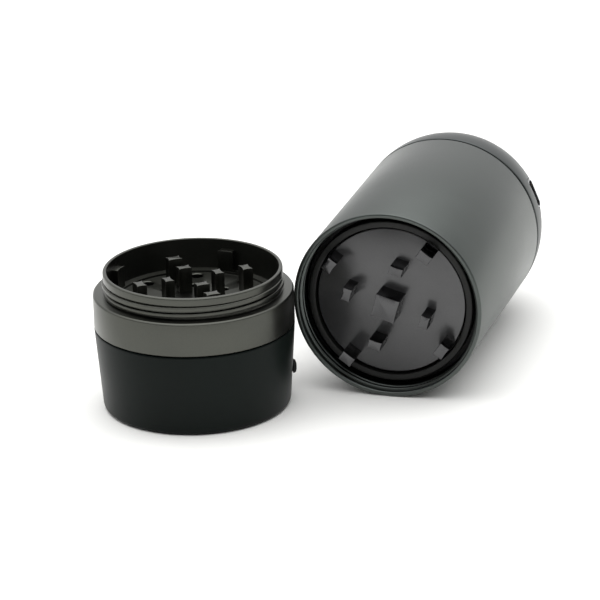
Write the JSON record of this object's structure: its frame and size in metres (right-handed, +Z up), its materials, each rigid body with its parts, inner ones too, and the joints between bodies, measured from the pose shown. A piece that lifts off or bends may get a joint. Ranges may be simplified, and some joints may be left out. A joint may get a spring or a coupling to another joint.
{
  "type": "motorised herb grinder",
  "caption": "Portable motorised grinder opened into two halves: an upright threaded chamber on a black cup, and a domed motor tube lying on its side with a toothed rotor.",
  "frame": {"origin": "centre of the collection cup's base, on the surface it stands on", "axes": "+Z up along the cup's axis, +X towards the motor half, +Y to the back, towards the domed end of the motor half"},
  "size_m": [0.1366, 0.1306, 0.0581],
  "materials": {
    "gunmetal": "satin",
    "dark_metal": "satin",
    "black_shell": "satin",
    "black_plastic": "satin",
    "black_rubber": "matte",
    "steel": "satin",
    "bronze": "satin",
    "board": "satin",
    "cell_wrap": "gloss",
    "lead_red": "satin",
    "lead_black": "satin"
  },
  "bodies": {
    "lower_half": {"collection_cup": "black_shell"},
    "side_plug": {"side_plug": "black_rubber"},
    "seal": {"cup_seal": "black_rubber"},
    "chamber": {"chamber_ring": "gunmetal"},
    "motor_half": {"motor_tube": "gunmetal", "liner_ring": "black_plastic", "seam_gasket": "black_rubber", "end_cap": "gunmetal", "bulkhead": "black_plastic", "bulkhead_screw_1": "steel", "bulkhead_screw_2": "steel", "bulkhead_screw_3": "steel", "shaft_seal": "black_rubber", "output_bearing": "bronze", "ring_gear": "black_plastic", "motor_plate": "steel", "motor_screw_1": "steel", "motor_screw_2": "steel", "motor_can": "steel", "battery_frame": "black_plastic", "battery_cell_1": "cell_wrap", "battery_cell_2": "cell_wrap", "cell_strip": "steel", "charge_board": "board", "charging_socket": "black_plastic", "switch_board": "board", "tactile_switch": "black_plastic", "motor_lead_red": "lead_red", "motor_lead_black": "lead_black"},
    "button": {"power_button": "black_plastic"},
    "rotor": {"rotor_plate": "dark_metal", "gear_carrier": "steel"},
    "planet_1": {"planet_gear_1": "steel"},
    "planet_2": {"planet_gear_2": "steel"},
    "planet_3": {"planet_gear_3": "steel"},
    "pinion": {"motor_pinion": "steel"}
  },
  "joints": [
    {"name": "halves_apart", "type": "slide", "parent": "lower_half", "child": "motor_half", "axis": [1, 0, 0], "range_m": [0, 0.08]},
    {"name": "chamber_turn", "type": "hinge", "parent": "lower_half", "child": "seal", "pos_m": [0, 0, 0.0258], "axis": [0, 0, 1], "range_deg": [0, 1080]},
    {"name": "chamber_lift", "type": "slide", "parent": "seal", "child": "chamber", "axis": [0, 0, 1], "range_m": [0, 0.0045]},
    {"name": "plug_pull", "type": "slide", "parent": "lower_half", "child": "side_plug", "axis": [0.9903, 0.1392, 0], "range_m": [0, 0.005]},
    {"name": "button_press", "type": "slide", "parent": "motor_half", "child": "button", "axis": [-0.2735, -0.9619, 0], "range_m": [0, 0.0008], "stiffness_N_per_m": 3000},
    {"name": "rotor_spin", "type": "hinge", "parent": "motor_half", "child": "rotor", "pos_m": [0.05755, -0.00024, 0.02903], "axis": [0.2735, 0.9619, 0], "continuous": true},
    {"name": "pinion_spin", "type": "hinge", "parent": "motor_half", "child": "pinion", "pos_m": [0.06239, 0.01679, 0.02903], "axis": [0.2735, 0.9619, 0], "continuous": true},
    {"name": "planet_spin_1", "type": "hinge", "parent": "rotor", "child": "planet_1", "pos_m": [0.06239, 0.01679, 0.03653], "axis": [0.2735, 0.9619, 0], "continuous": true},
    {"name": "planet_spin_2", "type": "hinge", "parent": "rotor", "child": "planet_2", "pos_m": [0.06864, 0.01501, 0.02528], "axis": [0.2735, 0.9619, 0], "continuous": true},
    {"name": "planet_spin_3", "type": "hinge", "parent": "rotor", "child": "planet_3", "pos_m": [0.05614, 0.01856, 0.02528], "axis": [0.2735, 0.9619, 0], "continuous": true}
  ],
  "couplings": [
    {"joint": "chamber_lift", "follows": "chamber_turn", "m_per_rad": 0.00023873},
    {"joint": "pinion_spin", "follows": "rotor_spin", "ratio": 5},
    {"joint": "planet_spin_1", "follows": "rotor_spin", "ratio": -2.6667},
    {"joint": "planet_spin_2", "follows": "rotor_spin", "ratio": -2.6667},
    {"joint": "planet_spin_3", "follows": "rotor_spin", "ratio": -2.6667}
  ]
}
